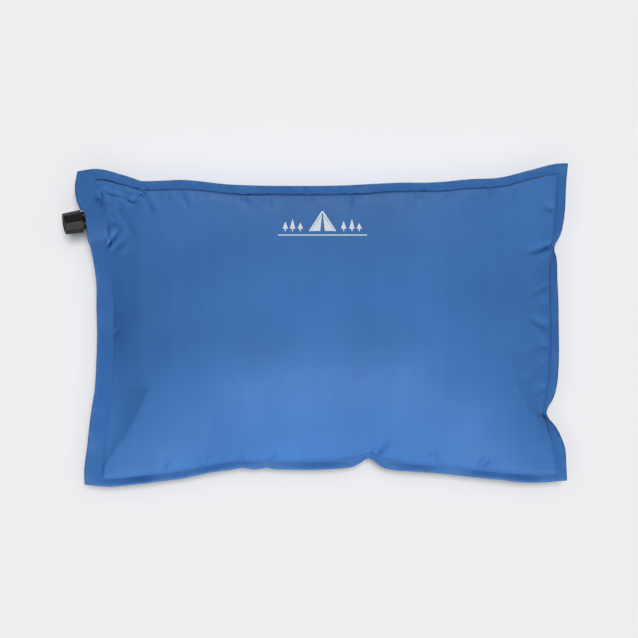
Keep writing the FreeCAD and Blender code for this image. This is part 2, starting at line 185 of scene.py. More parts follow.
# Creases in the dome beside the seam: panel, side, share along it, depth, half width, length, lean.
CREASES = (
    (0, "front", 0.581, -0.0014, 0.0080, 0.044, 0.34),
    (0, "front", 0.603, 0.0030, 0.0075, 0.046, 0.28),
    (0, "front", 0.645, 0.0014, 0.0080, 0.030, -0.5),
    (0, "front", 0.245, 0.0018, 0.0060, 0.026, 0.2),
    (0, "front", 0.325, 0.0022, 0.0055, 0.024, -0.3),
    (0, "front", 0.380, 0.0018, 0.0045, 0.018, 0.5),
    (0, "front", 0.455, 0.0010, 0.0060, 0.020, 0.0),
    (0, "front", 0.505, 0.0009, 0.0050, 0.016, 0.4),
    (0, "front", 0.745, 0.0022, 0.0060, 0.030, -0.8),
    (0, "front", 0.820, 0.0014, 0.0060, 0.024, 0.5),
    (0, "front", 0.160, 0.0012, 0.0070, 0.024, 0.3),
    (0, "right", 0.752, 0.0026, 0.0065, 0.048, -0.3),
    (0, "right", 0.300, 0.0012, 0.0060, 0.022, -0.4),
    (0, "right", 0.420, 0.0010, 0.0070, 0.020, 0.3),
    (0, "right", 0.560, 0.0010, 0.0080, 0.020, -0.2),
    (0, "right", 0.860, 0.0014, 0.0070, 0.026, 0.3),
    (0, "back", 0.085, 0.0016, 0.0060, 0.024, 0.5),
    (0, "back", 0.135, 0.0028, 0.0055, 0.024, -0.4),
    (0, "back", 0.205, 0.0014, 0.0060, 0.020, 0.3),
    (0, "back", 0.262, 0.0010, 0.0045, 0.015, -0.5),
    (0, "back", 0.335, 0.0020, 0.0055, 0.022, 0.4),
    (0, "back", 0.395, 0.0012, 0.0045, 0.016, -0.3),
    (0, "back", 0.470, 0.0014, 0.0060, 0.020, 0.2),
    (0, "back", 0.555, 0.0016, 0.0055, 0.022, -0.4),
    (0, "back", 0.615, 0.0010, 0.0045, 0.015, 0.5),
    (0, "back", 0.690, 0.0018, 0.0060, 0.022, 0.3),
    (0, "back", 0.765, 0.0014, 0.0055, 0.018, -0.4),
    (0, "back", 0.840, 0.0020, 0.0060, 0.024, 0.4),
    (0, "back", 0.905, 0.0014, 0.0060, 0.022, -0.3),
    (0, "left", 0.745, 0.0034, 0.0050, 0.024, 0.9),
    (0, "left", 0.842, 0.0026, 0.0060, 0.030, -0.5),
    (0, "left", 0.790, -0.0016, 0.0050, 0.020, 0.2),
    (0, "left", 0.478, 0.0010, 0.0050, 0.012, 0.3),
    (1, "front", 0.140, 0.0018, 0.0070, 0.028, 0.4),
    (1, "front", 0.270, 0.0022, 0.0060, 0.026, -0.3),
    (1, "front", 0.410, 0.0014, 0.0060, 0.022, 0.3),
    (1, "front", 0.588, 0.0045, 0.0080, 0.040, -0.2),
    (1, "front", 0.700, 0.0018, 0.0060, 0.024, 0.4),
    (1, "front", 0.850, 0.0020, 0.0070, 0.028, -0.4),
    (1, "back", 0.120, 0.0020, 0.0070, 0.028, 0.3),
    (1, "back", 0.280, 0.0018, 0.0060, 0.024, -0.3),
    (1, "back", 0.440, 0.0022, 0.0060, 0.026, 0.2),
    (1, "back", 0.610, 0.0016, 0.0055, 0.022, -0.4),
    (1, "back", 0.770, 0.0022, 0.0065, 0.026, 0.3),
    (1, "left", 0.250, 0.0018, 0.0070, 0.026, 0.4),
    (1, "left", 0.520, 0.0014, 0.0070, 0.022, -0.2),
    (1, "right", 0.212, 0.0036, 0.0080, 0.034, 0.2),
    (1, "right", 0.480, 0.0014, 0.0070, 0.022, -0.3),
    (1, "right", 0.738, 0.0036, 0.0060, 0.032, 0.2),
)

# Folds on the upper panel, as straight lines on the flat fabric: from, to, depth, half width.
FOLDS = (
    ((-0.2215, 0.1340), (-0.2205, 0.0780), 0.0026, 0.0036),
    ((-0.2180, 0.0760), (-0.1960, 0.0880), 0.0012, 0.0050),
    ((-0.2160, 0.1380), (-0.1800, 0.1290), 0.0018, 0.0060),
    ((-0.1780, 0.1420), (-0.1690, 0.1180), 0.0020, 0.0050),
    ((-0.2050, 0.1230), (-0.1900, 0.0900), 0.0011, 0.0060),
    ((-0.1400, 0.1450), (-0.1330, 0.1260), 0.0013, 0.0045),
    ((-0.0600, 0.1450), (-0.0520, 0.1300), 0.0012, 0.0045),
    ((0.0300, 0.1450), (0.0240, 0.1300), 0.0012, 0.0045),
    ((0.2290, 0.0385), (0.2080, 0.0300), 0.0012, 0.0050),
    ((0.2280, -0.0040), (0.2040, 0.0080), 0.0013, 0.0060),
    ((0.2260, -0.0265), (0.1990, -0.0500), -0.0012, 0.0070),
    ((0.1000, -0.1450), (0.1110, -0.1300), 0.0014, 0.0040),
    ((-0.1120, -0.1450), (-0.1000, -0.1360), 0.0014, 0.0040),
    ((-0.0860, -0.1455), (-0.0760, -0.1380), 0.0014, 0.0036),
    ((-0.0580, -0.1455), (-0.0480, -0.1370), 0.0013, 0.0036),
    ((0.1520, -0.1455), (0.1640, -0.1340), 0.0012, 0.0040),
)


# ---------------------------------------------------------------- outline
def smooth(t):
    t = np.clip(t, 0, 1)
    return t * t * (3 - 2 * t)


def corner(name):
    """Where the pillow's corner of this name lies."""
    inx, iny, rise = CORNERS[name]
    x = PANEL_LOW.x + inx if "left" in name else PANEL_HIGH.x - inx
    y = PANEL_LOW.y + iny if "front" in name else PANEL_HIGH.y - iny
    return np.array((x, y, SEAM_Z + rise))


def through(knots, s):
    """A smooth curve through (share, value) knots, read at the shares s."""
    at, value = (np.array(column, float) for column in zip(*knots))
    slope = np.gradient(value, at)
    i = np.clip(np.searchsorted(at, s) - 1, 0, len(at) - 2)
    h = at[i + 1] - at[i]
    t = (s - at[i]) / h
    return (
        (2 * t**3 - 3 * t**2 + 1) * value[i]
        + (t**3 - 2 * t**2 + t) * h * slope[i]
        + (3 * t**2 - 2 * t**3) * value[i + 1]
        + (t**3 - t**2) * h * slope[i + 1]
    )


def outline(side, s):
    """Where the outer edge of one side goes when the pillow is inflated, at the shares s."""
    start, end, inward, knots = SIDES[side]
    a, b = corner(start), corner(end)
    length = np.linalg.norm(b - a)
    points = a + (b - a) * s[:, None]
    inset = through(knots, s)
    drop = DROOP[side] * np.clip(1 - np.abs(2 * s - 1) ** 2.5, 0, None)
    for where, at, depth, width, down in TUCKS:
        if where == side:
            near = np.exp(-(np.abs((s - at) * length) / width) ** 1.4)
            inset = inset + depth * near
            drop = drop + down * near
    points[:, :2] += np.array(inward) * inset[:, None]
    points[:, 2] -= drop
    return points


# ---------------------------------------------------------------- cloth simulation
class Panels:
    """The two flat panels on one grid, with what is known about each grid point."""

    def __init__(self, step):
        self.n, self.m = (int(round(size / step)) + 1 for size in FLAT)
        x = np.linspace(-FLAT[0] / 2, FLAT[0] / 2, self.n)
        y = np.linspace(-FLAT[1] / 2, FLAT[1] / 2, self.m)
        self.hx, self.hy = x[1] - x[0], y[1] - y[0]
        self.X, self.Y = np.meshgrid(x, y, indexing="ij")
        self.near = {
            "left": self.X - x[0],
            "right": x[-1] - self.X,
            "front": self.Y - y[0],
            "back": y[-1] - self.Y,
        }
        self.room = np.min([self.near[s] - MARGIN[s] for s in MARGIN], 0)
        self.chamber = self.room > TOUCH
        self.rim = {
            "front": (slice(None), 0, (x - x[0]) / FLAT[0]),
            "back": (slice(None), -1, (x - x[0]) / FLAT[0]),
            "left": (0, slice(None), (y - y[0]) / FLAT[1]),
            "right": (-1, slice(None), (y - y[0]) / FLAT[1]),
        }
        # flat coordinates in the valve's frame
        self.along = self.near["back"] - VALVE_FROM_CORNER
        self.out = -self.near["left"]
        self.pocket, self.held = self.about_valve(*POCKET), self.about_valve(*HELD)
        self.level, self.flank = self.about_valve(*LEVEL), self.about_valve(*FLANK)
        self.welded = ~self.chamber & ~self.about_valve(*BOAT[:2])
        self.walls = self.seam_walls()

    def about_valve(self, half, depth):
        """Which points lie within half of the valve's axis and depth of the outer edge."""
        return (np.abs(self.along) < half) & (self.out > -depth)

    def from_share(self, side, at):
        """How far each point lies along a side from the share at of it."""
        if side in ("front", "back"):
            return self.X + FLAT[0] / 2 - at * FLAT[0]
        return self.Y + FLAT[1] / 2 - at * FLAT[1]

    def seam_walls(self):
        """For each side, what stand_in needs: the axis across it, its outer row and its seam's row,
        the rows of the chamber next to it, the least width of the margin, the overhang, and
        which of the larger or the smaller value lies inwards."""
        walls = []
        for side, axis in (("left", 1), ("right", 1), ("front", 2), ("back", 2)):
            step, count = ((self.hx, self.n), (self.hy, self.m))[axis - 1]
            seam, deep = int((MARGIN[side] + TOUCH) / step), int(0.045 / step)
            flat = KEPT[side] * MARGIN[side] * np.ones((1, self.m if axis == 1 else self.n))
            for where, at, depth, width, _ in TUCKS:
                if where == side and depth > DEEP_TUCK:
                    off = (self.rim[side][2] - at) * FLAT[2 - axis] / width
                    flat = flat * (1 - 0.55 * np.exp(-(off**2)))
            flat = flat[:, None] if axis == 1 else flat[..., None]
            hang = OVERHANG[side]
            if side in ("left", "front"):
                walls.append((axis, 0, seam, seam + 1, seam + deep, flat, hang, np.maximum))
            else:
                last = count - 1 - seam
                walls.append((axis, count - 1, last, last - deep, last, -flat, -hang, np.minimum))
        return walls

    def start(self):
        """Both panels flat, welded round the edge and a little apart inside."""
        P = np.zeros((2, self.n, self.m, 3))
        P[..., 0], P[..., 1], P[..., 2] = self.X, self.Y, SEAM_Z
        P[0, ..., 2] += 0.01 * self.chamber
        P[1, ..., 2] -= 0.01 * self.chamber
        return P

    def foam(self):
        """The most that the panels can stand apart: the foam's slightly uneven thickness."""
        u, v = self.X / (FLAT[0] / 2), self.Y / (FLAT[1] / 2)
        thick = LOFT * (1 - 0.03 * np.abs(u) ** 3 - 0.03 * np.abs(v) ** 3)
        waves = np.random.default_rng(5)
        for _ in range(30):
            fx, fy = waves.uniform(8, 60, 2) * waves.choice((-1, 1), 2)
            size = 0.020 / math.hypot(fx, fy)
            thick += size * (np.sin(self.X * fx + self.Y * fy + waves.uniform(0, 6.28)) - 0.6)
        return thick


def part_of(P, axis, low, high, step=None):
    """An index of P that takes low to high along one axis and everything along the others."""
    cut = [slice(None)] * P.ndim
    cut[axis] = slice(low, high, step)
    return tuple(cut)


def refine(P, n, m):
    """P read off on a finer grid, by cubic interpolation."""
    for axis, count in ((1, n), (2, m)):
        A = np.moveaxis(P, axis, 0)
        last = A.shape[0] - 1
        t = np.linspace(0, last, count)
        i = np.clip(np.floor(t).astype(int), 0, last - 1)
        f = (t - i).reshape(-1, 1, 1, 1)
        a, b, c, d = A[np.clip(i - 1, 0, last)], A[i], A[i + 1], A[np.clip(i + 2, 0, last)]
        A = b + 0.5 * f * (c - a + f * (2 * a - 5 * b + 4 * c - d + f * (3 * b - a - 3 * c + d)))
        P = np.moveaxis(A, 0, axis)
    return P.copy()


def hold_lengths(P, links):
    """Draws the ends of each link towards their rest length: all the way, or less if told so."""
    for a, b, rest, pull, push in links:
        d = P[b] - P[a]
        size = np.sqrt((d * d).sum(-1, keepdims=True)) + 1e-12
        slack = (size - rest) / size
        d *= slack * np.where(slack > 0, pull / 2, push / 2)
        P[a] += d
        P[b] -= d


def thread_links(P, g):
    """Threads along x and y, which hardly stretch, and the fabric's weaker diagonals."""
    inside = {side: g.near[side] <= MARGIN[side] + TOUCH for side in MARGIN}
    around, across = inside["front"] | inside["back"], inside["left"] | inside["right"]
    eased = 1 + (EASE - 1) * smooth(g.room / 0.05)
    rest_x = (g.hx * np.where(g.chamber, eased, 1 - SHRINK[0] * around))[None, ..., None]
    rest_y = (g.hy * np.where(g.chamber, eased, 1 - SHRINK[1] * across))[None, ..., None]
    push = np.where(g.chamber, 0.9, 0.12)[None, ..., None]
    links = []
    for axis, rest in ((1, rest_x), (2, rest_y)):
        for odd in (0, 1):
            a = part_of(P, axis, odd, P.shape[axis] - 1, 2)
            b = part_of(P, axis, odd + 1, None, 2)
            one = part_of(rest, axis, odd, P.shape[axis] - 1, 2)
            links.append((a, b, rest[one], 1.0, push[one]))
    diagonal = math.hypot(g.hx, g.hy) * EASE
    every, low, high = slice(None), slice(0, g.m - 1), slice(1, g.m)
    for odd in (0, 1):
        here, there = slice(odd, g.n - 1, 2), slice(odd + 1, g.n, 2)
        links.append(((every, here, low), (every, there, high), diagonal, 0.3, 0.1))
        links.append(((every, here, high), (every, there, low), diagonal, 0.3, 0.1))
    return links


def bends(P, g, rules):
    """For each span in metres, with a stiffness in the chamber and one in the margin: which points
    are drawn how strongly towards the middle of their neighbours. The seam is a free hinge."""
    inside = g.chamber[None, ..., None]
    out = []
    for reach, chamber, margin in rules:
        span = max(1, int(round(reach / g.hx)))
        for axis in (1, 2):
            low, high = part_of(P, axis, None, -2 * span), part_of(P, axis, 2 * span, None)
            middle = part_of(P, axis, span, -span)
            one = (slice(0, 1),) + middle[1:]
            near, far = (slice(0, 1),) + low[1:], (slice(0, 1),) + high[1:]
            alike = (inside[near] == inside[one]) & (inside[far] == inside[one])
            out.append((low, middle, high, np.where(inside[one], chamber, margin) * alike))
    return out


def bend_back(P, stencils):
    """Draws each point towards the middle of its neighbours, and them the other way."""
    for low, middle, high, stiff in stencils:
        d = ((P[low] + P[high]) / 2 - P[middle]) * stiff
        P[middle] += d
        P[low] -= d / 2
        P[high] -= d / 2


def clear_valve(P, g):
    """Keeps the margin in the valve's own plane, and both panels off the boat and the spigot."""
    along, out = g.along[g.held], g.out[g.held]
    lens = BOAT[2] * np.clip(1 - (along / BOAT[0]) ** 2, 0, None) + OFF_VALVE
    flat = VALVE + ALONG * along[:, None] + OUT * out[:, None]
    P[0][g.held] = flat + UP * lens[:, None]
    P[1][g.held] = flat - UP * lens[:, None]
    lens = BOAT[2] * np.clip(1 - (g.along[g.level] / BOAT[0]) ** 2, 0, None) + OFF_VALVE
    lens = lens[:, None]
    past_tip = np.clip(np.abs(g.along[g.flank]) - (BOAT[0] - 0.0005), 0, None)
    least = g.out[g.flank] - 0.5 * past_tip
    P[:, g.flank] += OUT * np.clip(least - (P[:, g.flank] - VALVE) @ OUT, 0, None)[..., None]
    for k, side in ((0, 1), (1, -1)):
        height = ((P[k][g.level] - VALVE) @ UP)[:, None]
        P[k][g.level] += UP * (side * lens - height) * 0.5
    for k, side in ((0, 1), (1, -1)):
        q = P[k][g.pocket] - VALVE
        a, w, h = q @ ALONG, q @ OUT, q @ UP
        over_boat = (BOAT[2] + OFF_VALVE) * np.clip(1 - (a / BOAT[0]) ** 2, 0, None)
        over_spigot = np.sqrt(np.clip(SPIGOT[1] ** 2 - a**2, 0, None))
        need = np.where(w > -BOAT[1], over_boat, np.where(w > -SPIGOT[0], over_spigot, 0))
        lift = np.where(need > 0, np.clip(need - side * h, 0, None), 0)
        P[k][g.pocket] += side * UP * lift[:, None]


def stand_in(P, g):
    """Keeps the margin from folding under, and the chamber from hanging far over its own seam."""
    for axis, rim, seam, low, high, flat, hang, inward in g.walls:
        edge = P[part_of(P, axis, rim, rim + 1)][..., axis - 1]
        wall = P[part_of(P, axis, seam, seam + 1)][..., axis - 1]
        band = P[part_of(P, axis, low, high)][..., axis - 1]
        inward(wall, edge + flat, out=wall)
        inward(band, wall - hang, out=band)


KEEP_SPEED = 0.93  # share of its speed that the fabric keeps from step to step
WEIGHT = 0.12  # the fabric's weight, as a share of the pressure
EDGE_PULL, EDGE_LIFT = 0.6, 0.12  # how firmly the outer edge goes to its outline, in plan and up


def settle(g, P, steps, rounds, pressure, rules, noise):
    """Blows the panels up on grid g, starting from P, until they have come to rest."""
    links = thread_links(P, g)
    thick = g.foam()[..., None]
    edges = [(i, j, outline(side, s)) for side, (i, j, s) in g.rim.items()]
    stencils = bends(P, g, rules)
    P[..., 2] += np.random.default_rng(11).normal(0, noise, P.shape[:3]) * g.chamber
    speed = np.zeros_like(P)
    for _ in range(steps):
        across, along = np.zeros_like(P), np.zeros_like(P)
        across[:, 1:-1] = P[:, 2:] - P[:, :-2]
        along[:, :, 1:-1] = P[:, :, 2:] - P[:, :, :-2]
        push = np.cross(across, along) / (4 * g.hx * g.hy) * g.chamber[..., None]
        push[1] *= -1
        before = P.copy()
        P = P + speed * KEEP_SPEED + push * pressure
        P[..., 2] -= WEIGHT * pressure
        for _ in range(rounds):
            hold_lengths(P, links)
            bend_back(P, stencils)
            d = P[0] - P[1]
            apart = np.sqrt((d * d).sum(-1, keepdims=True)) + 1e-12
            d *= np.clip((apart - thick) / apart, 0, None) / 2
            P[0] -= d
            P[1] += d
            P[:, g.welded] = P[:, g.welded].mean(0)
            np.maximum(P[..., 2], FABRIC + WELD, out=P[..., 2])
            for i, j, goal in edges:
                P[:, i, j, :2] += (goal[:, :2] - P[:, i, j, :2]) * EDGE_PULL
                P[:, i, j, 2] += (goal[:, 2] - P[:, i, j, 2]) * EDGE_LIFT
            stand_in(P, g)
            clear_valve(P, g)
        speed = P - before
    return P


# The grids, from coarse to fine: step, time steps, rounds in each, pressure, the bending rules that
# bends reads, and how uneven the start is.
STAGES = (
    (0.009, 120, 12, 0.0003, ((0.009, 0.02, 0.25), (0.018, 0.03, 0.1)), 0.0008),
    (0.0045, 80, 12, 0.00006,
     ((0.0045, 0.01, 0.1), (0.009, 0.03, 0.25), (0.018, 0.04, 0)), 0.0002),
    (0.00225, 50, 10, 0.000015,
     ((0.00225, 0.02, 0.1), (0.0045, 0.04, 0.1), (0.009, 0.05, 0.25), (0.018, 0.05, 0)), 0.0),
)


def inflate():
    """The inflated panels: the grid, and the points of the upper [0] and the lower [1] panel."""
    P = None
    for step, *how in STAGES:
        g = Panels(step)
        P = settle(g, g.start() if P is None else refine(P, g.n, g.m), *how)
    draw_edge(g, P)
    return g, P


def draw_edge(g, P):
    """Brings the outer edge exactly to the outline, and the margin along with it."""
    free = smooth((np.abs(g.along) - 0.012) / 0.012)
    free[g.near["left"] > 0.03] = 1
    for side, (i, j, s) in g.rim.items():
        missing = (outline(side, s) - P[0, i, j]) * (1, 1, 0.5)
        missing = missing[:, None] if side in ("front", "back") else missing[None]
        share = np.clip(1 - g.near[side] / (MARGIN[side] + 0.008), 0, 1) ** 1.3
        P += (share * free)[..., None] * missing


def normals(A):
    """Unit normals of one grid of points, up for the upper panel."""
    across, along = np.gradient(A, axis=0), np.gradient(A, axis=1)
    N = np.cross(across, along)
    return N / (np.linalg.norm(N, axis=-1, keepdims=True) + 1e-12)


def pinch(g, P):
    """Draws the chamber and the inner part of the margin in at each pinch."""
    for side, at, depth, width in PINCHES:
        q = g.near[side] - MARGIN[side]
        fade = np.where(q < 0, 1 + q / MARGIN[side], 1 - smooth((q - 0.030) / 0.060))
        inward = depth * np.exp(-(np.abs(g.from_share(side, at)) / width) ** 1.4) * fade
        P[..., :2] += np.array(SIDES[side][2]) * inward[..., None]


def facet(g, P):
    """Draws the fabric straight from the seam across each facet."""
    for k, side, widths in FACETS:
        share = (g.X if side in ("front", "back") else g.Y)
        size = FLAT[0] if side in ("front", "back") else FLAT[1]
        turn = {
            "left": lambda A: A,
            "right": lambda A: A[::-1],
            "front": lambda A: A.swapaxes(0, 1),
            "back": lambda A: A[:, ::-1].swapaxes(0, 1),
        }[side]
        A = turn(P[k])
        along = turn(share)[0] / size + 0.5
        step = g.hx if side in ("left", "right") else g.hy
        first = MARGIN[side] / step
        last = first + np.interp(along, *zip(*widths)) / step
        columns = np.arange(A.shape[1])

        def read(at):
            low = np.floor(at).astype(int)
            part = (at - low)[:, None]
            return A[low, columns] * (1 - part) + A[low + 1, columns] * part

        start, end = read(np.full(len(columns), first)), read(last)
        rows = np.arange(A.shape[0])[:, None]
        t = (rows - first) / np.maximum(last - first, 1e-6)
        hit = (t > 0) & (t < 1) & (last - first > 1.5)
        straight = start + (end - start) * t[..., None]
        hollow = np.interp(along, *zip(*HOLLOWS.get((k, side), ((0, 0), (1, 0)))))
        sag = hollow * (last - first) * step * 4 * t * (1 - t)
        straight = straight - turn(normals(P[k]) * (1, -1)[k]) * sag[..., None]
        A[hit] += FLATTEN * (straight - A)[hit]


def ripple(g, P):
    """Lets the margin wave gently, more towards its outer edge."""
    waves = np.random.default_rng(3)
    free = smooth((np.hypot(g.along, g.out) - 0.030) / 0.020)
    for side in SIDES:
        s = g.X if side in ("front", "back") else g.Y
        height = np.zeros_like(s)
        for _ in range(6):
            pace = waves.uniform(55, 210)
            height += 0.055 / pace * np.sin(s * pace + waves.uniform(0, 6.28))
        reach = np.clip(1 - g.near[side] / MARGIN[side], 0, 1)
        P[..., 2] += reach * height * free


def furrow(off):
    """The section of a crease, off half widths from its line: a V between two soft ridges."""
    return np.clip(1 - off, 0, None) - 0.45 * np.exp(-(((off - 1.35) / 0.6) ** 2))


def crease(g, P):
    """Presses the creases that gathering leaves beside the seam into the domes, and the folds."""
    valve = smooth(np.hypot(g.along / 0.024, (g.out + 0.008) / 0.020) - 0.5)
    for k in (0, 1):
        dent = np.zeros((g.n, g.m))
        for panel, side, at, depth, width, length, lean in CREASES:
            if panel != k:
                continue
            q = g.near[side] - MARGIN[side]
            spread = width * (0.6 + 1.0 * np.clip(q, 0, None) / length)
            off = np.abs(g.from_share(side, at) - lean * q) / spread
            fade = smooth(q / 0.006 + 0.2) * (1 - smooth(q / length))
            dent += PRESS * depth * furrow(off) * fade
        for start, end, depth, width in FOLDS if k == 0 else ():
            a, b = np.array(start), np.array(end)
            length = np.linalg.norm(b - a)
            u = ((g.X - a[0]) * (b - a)[0] + (g.Y - a[1]) * (b - a)[1]) / length**2
            off = np.abs((g.X - a[0]) * (b - a)[1] - (g.Y - a[1]) * (b - a)[0]) / (length * width)
            fade = smooth(u / 0.25 + 0.5), smooth((1.15 - u) / 0.45)
            dent += depth * furrow(off) * fade[0] * fade[1] * g.chamber
        P[k] += normals(P[k]) * (dent * valve * (-1 if k == 0 else 1))[..., None]
    P[:, g.welded] = P[:, g.welded].mean(0)
    np.maximum(P[..., 2], FABRIC + WELD, out=P[..., 2])
    clear_valve(P, g)


# ---------------------------------------------------------------- meshes
def new_object(name, points, faces, slot=None):
    """A smooth-shaded mesh object. With a slot it is a piece of the pillow."""
    mesh = bpy.data.meshes.new(name)
    mesh.from_pydata(np.asarray(points).tolist(), [], np.asarray(faces).tolist())
    mesh.update()
    mesh.polygons.foreach_set("use_smooth", [True] * len(mesh.polygons))
    obj = bpy.data.objects.new(name, mesh)
    bpy.context.scene.collection.objects.link(obj)
    if slot:
        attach(obj, "pillow")
    return obj


def mark(obj, name, values):
    """A number for each point, for the material to read."""
    layer = obj.data.attributes.new(name, "FLOAT", "POINT")
    layer.data.foreach_set("value", np.asarray(values, np.float32))


def shell(name, top, bottom, keep, slot, marks=()):
    """A closed shell between two grids of points, over the grid's cells in keep. top is seen from
    the side that its cells, counted along x and then y, turn to."""
    ids = np.arange(top[..., 0].size).reshape(top.shape[:2])
    cells = np.stack([ids[:-1, :-1], ids[1:, :-1], ids[1:, 1:], ids[:-1, 1:]], -1)[keep]
    sides = np.concatenate([cells[:, [k, (k + 1) % 4]] for k in range(4)])
    there = {(a, b) for a, b in sides.tolist()}
    open_sides = np.array([(a, b) for a, b in sides.tolist() if (b, a) not in there])
    below = ids.size
    walls = np.stack(
        [open_sides[:, 1], open_sides[:, 0], open_sides[:, 0] + below, open_sides[:, 1] + below], -1
    )
    faces = np.concatenate([cells, cells[:, ::-1] + below, walls])
    used = np.zeros(2 * below, bool)
    used[faces] = True
    faces = (np.cumsum(used) - 1)[faces]
    points = np.concatenate([top.reshape(-1, 3), bottom.reshape(-1, 3)])[used]
    obj = new_object(name, points, faces, slot)
    for title, values in marks:
        mark(obj, title, np.tile(values.ravel(), 2)[used])
    return obj


def of_cells(points):
    """Which cells have all four corners among these grid points."""
    return points[:-1, :-1] & points[1:, :-1] & points[1:, 1:] & points[:-1, 1:]


WORN_RIM = 0.004  # how far in the outer edge is worn
WELD_LINE = 0.0018  # half width of the line where the chamber meets the margin


def covers(g, P):
    """The two fabric covers, with marks of the outer rim, the weld line and the margin."""
    rim = np.min([g.near[s] for s in MARGIN], 0)
    marks = (
        ("rim", 1 - smooth(rim / WORN_RIM)),
        ("weld_line", np.exp(-((g.room / WELD_LINE) ** 2))),
        ("margin", 1.0 * ~g.chamber),
    )
    every = np.ones((g.n - 1, g.m - 1), bool)
    upper, lower = normals(P[0]), normals(P[1])
    gap = WELD / 2
    top = shell("upper_cover", P[0] + upper * (gap + FABRIC), P[0] + upper * gap, every,
                "upper_fabric", marks)
    under = shell("lower_cover", P[1] - lower * gap, P[1] - lower * (gap + FABRIC), every,
                  "lower_fabric", marks)
    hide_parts("upper_panel")
    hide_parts("lower_panel")
    return top, under


def weld_band(g, P):
    """The fused coating between the covers, all round the margin except where the valve sits."""
    middle = P.mean(0)
    up = normals(middle) * (WELD / 2 - 0.00001)  # just clear of both covers
    keep = of_cells(g.welded)
    band = shell("margin_weld", middle + up, middle - up, keep, "weld_film")
    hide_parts("seam_weld")
    return band


def foam_block(g, P):
    """The foam, up to the covers and cut back round the valve's spigot."""
    apart = np.linalg.norm(P[0] - P[1], axis=-1)
    slot = g.about_valve(*FOAM_SLOT)
    keep = of_cells((g.room > FOAM_EDGE) & (apart > FOAM_EDGE) & ~slot)
    upper, lower = normals(P[0]), normals(P[1])
    block = shell("foam_block", P[0] - upper * FOAM_GAP, P[1] + lower * FOAM_GAP, keep, "foam")
    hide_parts("foam_core")
    return block


# ---------------------------------------------------------------- print
PRINT_AT = (0.0, 0.093)
PRINT_LIFT = 0.00012
LINE_WIDTH = 0.0011
FOOT = -0.0010  # where the tent and the trees stand, from the middle of the print
TREES = ((-0.036, 0.0095), (-0.029, 0.0120), (-0.0215, 0.0085), (0.0205, 0.0100),
         (0.0285, 0.0120), (0.0355, 0.0080))  # place and height


def stroke(points, width):
    """Quads along a broken line in the plane, cut short enough to lie on a dome."""
    out = []
    for a, b in zip(points[:-1], points[1:]):
        a, b = np.array(a), np.array(b)
        along = (b - a) / np.linalg.norm(b - a)
        side = np.array((-along[1], along[0])) * width / 2
        steps = max(1, int(np.linalg.norm(b - a) / 0.0015))
        for i in range(steps):
            p, q = a + (b - a) * i / steps, a + (b - a) * (i + 1) / steps
            out.append([p - side, q - side, q + side, p + side])
    return out


def filled(left, right, bottom, top, levels=10, tip=None):
    """A triangle with a flat foot, its tip midway or at tip, as rows of four quads."""
    middle = (left + right) / 2 if tip is None else tip

    def at(level, share):
        start = left + (middle - left) * level
        end = right + (middle - right) * level
        return np.array((start + (end - start) * share, bottom + (top - bottom) * level))

    quads = []
    for i in range(levels):
        s, t = i / levels, (i + 1) / levels
        for k in range(4):
            a, b = k / 4, (k + 1) / 4
            quads.append([at(s, a), at(s, b), at(t, b), at(t, a)])
    return quads


def camp_print(cover):
    """A plain tent between small trees over a ground line, in place of the printed mark."""
    shapes = []
    shapes += filled(-0.0112, -0.0022, FOOT, 0.0155, 12, -0.0004)
    shapes += filled(0.0022, 0.0112, FOOT, 0.0155, 12, 0.0004)
    shapes += stroke([(-0.0125, -0.0012), (0.0, 0.0185)], 0.0016)
    shapes += stroke([(0.0125, -0.0012), (0.0, 0.0185)], 0.0016)
    for x, tall in TREES:
        shapes += filled(x - 0.0027, x + 0.0027, FOOT + 0.0022, FOOT + tall, 6)
        shapes += stroke([(x, -0.0012), (x, 0.0016)], LINE_WIDTH)
    shapes += stroke([(-0.043, -0.0050), (0.043, -0.0050)], LINE_WIDTH)
    tree = BVHTree.FromObject(cover, bpy.context.evaluated_depsgraph_get())
    points, faces = [], []
    for corners in shapes:
        faces.append(range(len(points), len(points) + 4))
        for p in corners:
            x, y = p[0] + PRINT_AT[0], p[1] + PRINT_AT[1]
            hit, normal, _, _ = tree.ray_cast(Vector((x, y, 0.2)), Vector((0, 0, -1)))
            points.append(hit + normal * PRINT_LIFT)
    return new_object("tent_print", points, [list(f) for f in faces], "upper_fabric")


# ---------------------------------------------------------------- materials
def linear(red, green, blue):
    """A shader colour from the usual 0 to 255 numbers."""
    tones = (c / 255 for c in (red, green, blue))
    return tuple(t / 12.92 if t <= 0.04045 else ((t + 0.055) / 1.055) ** 2.4 for t in tones) + (1,)


